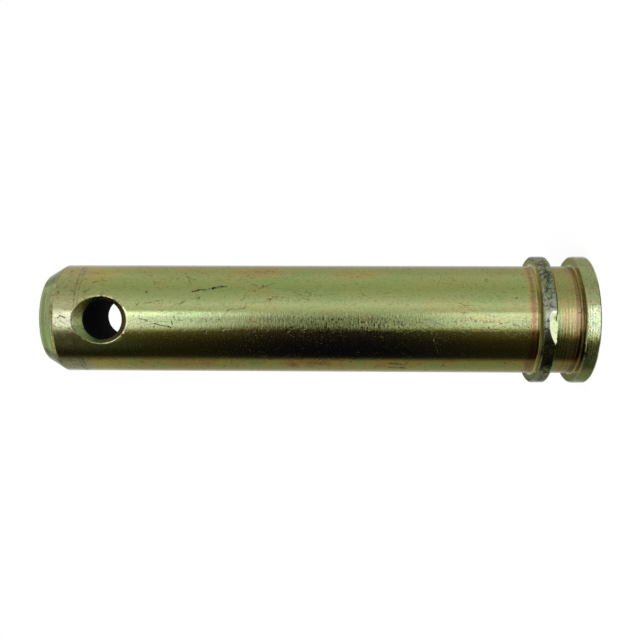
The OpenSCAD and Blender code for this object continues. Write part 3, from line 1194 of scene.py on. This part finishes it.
def surround_material():
    """Emission of the card surround, by angle round the pin and by height.

    Grey cards stand all round, a dark one on the side of -X, and a long soft light
    along the front, which is wider and brighter below the pin. Where the camera
    stands, the light and the dark card are dimmer. A ceiling and a ground, brighter
    towards the front, close it."""
    material = bpy.data.materials.new("card_surround")
    t = Shader(material)
    _, x, y, z = t.coordinates()
    turn = t.node("ShaderNodeMath", {"operation": "ARCTAN2"}, {0: x, 1: 0 - y})
    turn = turn * (180 / math.pi)

    cards = t.ramp((turn + 180) / 360, [
        ((deg + 180) / 360, (level * red / PEAK, level / PEAK, level * blue / PEAK))
        for deg, level, red, blue in CARDS])
    strip = levels(t, z, STRIP, STRIP_LOW, LIGHT_TOP)
    hot = levels(t, z, HOT_EDGE, HOT_LOW, LIGHT_TOP)
    strip = t.mix(t.step(z, *LIGHT_FOOT), strip, FOOT_TINT)
    lit = t.step(abs(z - LENS_HEIGHT), *LENS_SHADE)
    flare = t.step(z, *FLARE)
    spread = turn / (1 + flare * FLARE_WIDENING)

    # The cards, with the dark one behind the camera's shade
    dark_side = t.step(turn, *DARK_END) * t.step(turn, *DARK_START)
    behind = (1 - lit + t.band(z, *DARK_GAP, 3) * 0.8) * dark_side
    shaded = t.mix(behind, cards, SHADE_TINT, "MULTIPLY")
    shaded = t.mix((1 - lit) * dark_side, shaded, SHADE_GLOW, "ADD")
    fill = t.step(z, *FILL_HIGH) * t.step(turn, *FILL_TURN) * 0.05
    fill = fill + t.step(z, *FILL_LOW) * 0.09
    shaded = t.mix(fill * dark_side, shaded, FILL_TINT, "ADD")
    beside = flare * t.step(turn, *FLARE_SIDE)
    shaded = t.mix(beside, shaded, FLARE_SIDE_TINT, "MULTIPLY")
    back = t.band(z, *BACK_HEIGHT, 30) * t.step(abs(turn), *BACK_TURN) * 0.046
    shaded = t.mix(back, shaded, BACK_GLOW, "ADD")
    above = t.step(z, *TOP_HEIGHT) * t.step(abs(turn), *TOP_TURN)
    shaded = t.mix(above, shaded, TOP_TINT, "MULTIPLY")

    # The long light, with its bare upper edge and its warm lower one
    bare = t.step(spread, *HOT_START) * t.step(spread, *HOT_END)
    light = t.mix(bare, strip, hot, "ADD")
    glare = flare * 0.2 + (
        t.band(spread, *GLARE_TURN, 3) * t.band(z, *GLARE_HEIGHT, 20) * 0.15)
    light = t.mix(glare, light, FLARE_TINT, "ADD")
    shifted = spread - (1 - lit) * 3 + t.step(z, *LOW_EDGE_RISE) * 3
    for low, high, soft, degrees in LOW_EDGE_SHIFTS:
        shifted = shifted + t.band(z, low, high, soft) * degrees
    low_edge = t.step(shifted, *LIGHT_LOW)
    light = t.mix(1 - low_edge, light, LOW_EDGE_TINT, "MULTIPLY")

    cast = t.mix(low_edge * t.step(spread, *LIGHT_HIGH), shaded, light)
    cast = t.mix(t.step(z, *CEILING), cast, CEILING_TINT)
    below = t.step(z, *GROUND)
    cast = t.mix(below, cast, GROUND_TINT)
    cast = t.mix(below * t.step(abs(turn), *GROUND_FRONT), cast, GROUND_FRONT_TINT)
    glow = t.node("ShaderNodeEmission", {}, {"Color": cast, "Strength": PEAK})
    t.node("ShaderNodeOutputMaterial", {}, {"Surface": glow})
    material.cycles.emission_sampling = "NONE"
    return material


def ring_sheet(name, radii, heights, columns):
    """A round sheet from rows (radius, height) carried once round the axis."""
    turn = 2 * np.pi * np.arange(columns) / columns
    radii, heights = np.asarray(radii)[:, None], np.asarray(heights)[:, None]
    points = turned_points(radii, heights, turn).reshape(-1, 3)
    quads = sheet_quads(np.arange(len(points)).reshape(-1, columns)).reshape(-1, 4)
    return make_mesh(name, points, quads, np.zeros((0, 3), int))


def soft_lamp(name, place, aim, size, power):
    """A square soft light at place, turned to aim."""
    lamp = bpy.data.lights.new(name, "AREA")
    lamp.shape = "SQUARE"
    lamp.size = size
    lamp.energy = power
    holder = bpy.data.objects.new(name, lamp)
    holder.location = place
    look = Vector(aim) - Vector(place)
    holder.rotation_euler = look.to_track_quat("-Z", "Y").to_euler()
    holder.visible_glossy = False
    bpy.context.scene.collection.objects.link(holder)


def place_camera(look):
    """The photograph's camera: level with the pin's middle, on its side.

    The picture's right is the pin's down and its up is the pin's +X. Swing turns the
    view round the pin, yaw turns it along the pin, and roll tilts the picture."""
    along = Vector((0, 0, -1))
    outward = Vector((math.sin(look.swing), -math.cos(look.swing), 0))
    side = Vector((math.cos(look.swing), math.sin(look.swing), 0))
    right = math.cos(look.yaw) * along - math.sin(look.yaw) * outward
    ahead = -math.sin(look.yaw) * along - math.cos(look.yaw) * outward
    tilted_right = math.cos(look.roll) * right + math.sin(look.roll) * side
    tilted_up = math.cos(look.roll) * side - math.sin(look.roll) * right
    place = (Vector((0, 0, look.aim_height)) - look.distance * ahead
             - look.aim_drop * tilted_up)

    lens = bpy.data.cameras.new("camera")
    lens.lens = look.lens
    lens.sensor_width = SENSOR_WIDTH
    lens.clip_start = NEAR_CLIP
    camera = bpy.data.objects.new("camera", lens)
    turn = Matrix((tilted_right, tilted_up, -ahead)).transposed().to_4x4()
    camera.matrix_world = Matrix.Translation(place) @ turn
    bpy.context.scene.collection.objects.link(camera)
    bpy.context.scene.camera = camera


# Operators, panel and registration


class LINKPIN_OT_pin(bpy.types.Operator):
    """Build the plated pin over its solid"""

    bl_idname = "linkpin.pin"
    bl_label = "Build Pin"
    bl_options = {"REGISTER", "UNDO"}

    def execute(self, context):
        sizes = context.scene.link_pin_sizes
        piece = make_mesh("plated_pin", *pin_mesh(sizes))
        piece.data.set_sharp_from_angle(angle=SHARP_EDGE)
        piece.data.materials.append(
            plated_steel(context.scene.link_pin_finish, sizes))
        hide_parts(NODE)
        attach(piece, BODY)
        return {"FINISHED"}


class LINKPIN_OT_stage(bpy.types.Operator):
    """Build the floor, the card surround, the lamps, the world and the camera"""

    bl_idname = "linkpin.stage"
    bl_label = "Build Stage"
    bl_options = {"REGISTER", "UNDO"}

    def execute(self, context):
        look = context.scene.link_pin_stage
        context.scene.view_settings.view_transform = "Standard"
        white_world()
        place_camera(look)

        floor = ring_sheet(
            "floor", (FLOOR_RADIUS, 0.5 * MM), (FLOOR_HEIGHT, FLOOR_HEIGHT),
            FLOOR_COLUMNS)
        floor.data.materials.append(floor_material(look))
        floor.visible_glossy = False

        radius = look.surround_radius
        surround = ring_sheet(
            "card_surround", (MM, radius, radius, MM),
            (SURROUND_LOW, SURROUND_LOW, SURROUND_HIGH, SURROUND_HIGH),
            SURROUND_COLUMNS)
        surround.data.materials.append(surround_material())
        for rays in ("camera", "diffuse", "transmission", "volume_scatter", "shadow"):
            setattr(surround, f"visible_{rays}", False)

        for name, place, size, power in LAMPS:
            soft_lamp(name, place, LAMP_AIM, size, power)
        return {"FINISHED"}


class VIEW3D_PT_link_pin(bpy.types.Panel):
    """Lists the pin's sizes and finish and the stage"""

    bl_label = "Link Pin"
    bl_space_type = "VIEW_3D"
    bl_region_type = "UI"
    bl_category = "Link Pin"

    def draw(self, context):
        column = self.layout.column()
        for group, operator in (
            (context.scene.link_pin_sizes, LINKPIN_OT_pin.bl_idname),
            (context.scene.link_pin_finish, None),
            (context.scene.link_pin_stage, LINKPIN_OT_stage.bl_idname),
        ):
            for name in type(group).__annotations__:
                column.prop(group, name)
            if operator:
                column.operator(operator)


CLASSES = (
    PinSizes, PlateFinish, StageLook,
    LINKPIN_OT_pin, LINKPIN_OT_stage, VIEW3D_PT_link_pin,
)


def register():
    for item in CLASSES:
        bpy.utils.register_class(item)
    bpy.types.Scene.link_pin_sizes = PointerProperty(type=PinSizes)
    bpy.types.Scene.link_pin_finish = PointerProperty(type=PlateFinish)
    bpy.types.Scene.link_pin_stage = PointerProperty(type=StageLook)


def unregister():
    del bpy.types.Scene.link_pin_stage
    del bpy.types.Scene.link_pin_finish
    del bpy.types.Scene.link_pin_sizes
    for item in reversed(CLASSES):
        bpy.utils.unregister_class(item)


def main():
    register()
    bpy.ops.linkpin.pin()
    bpy.ops.linkpin.stage()


if __name__ == "__main__":
    main()
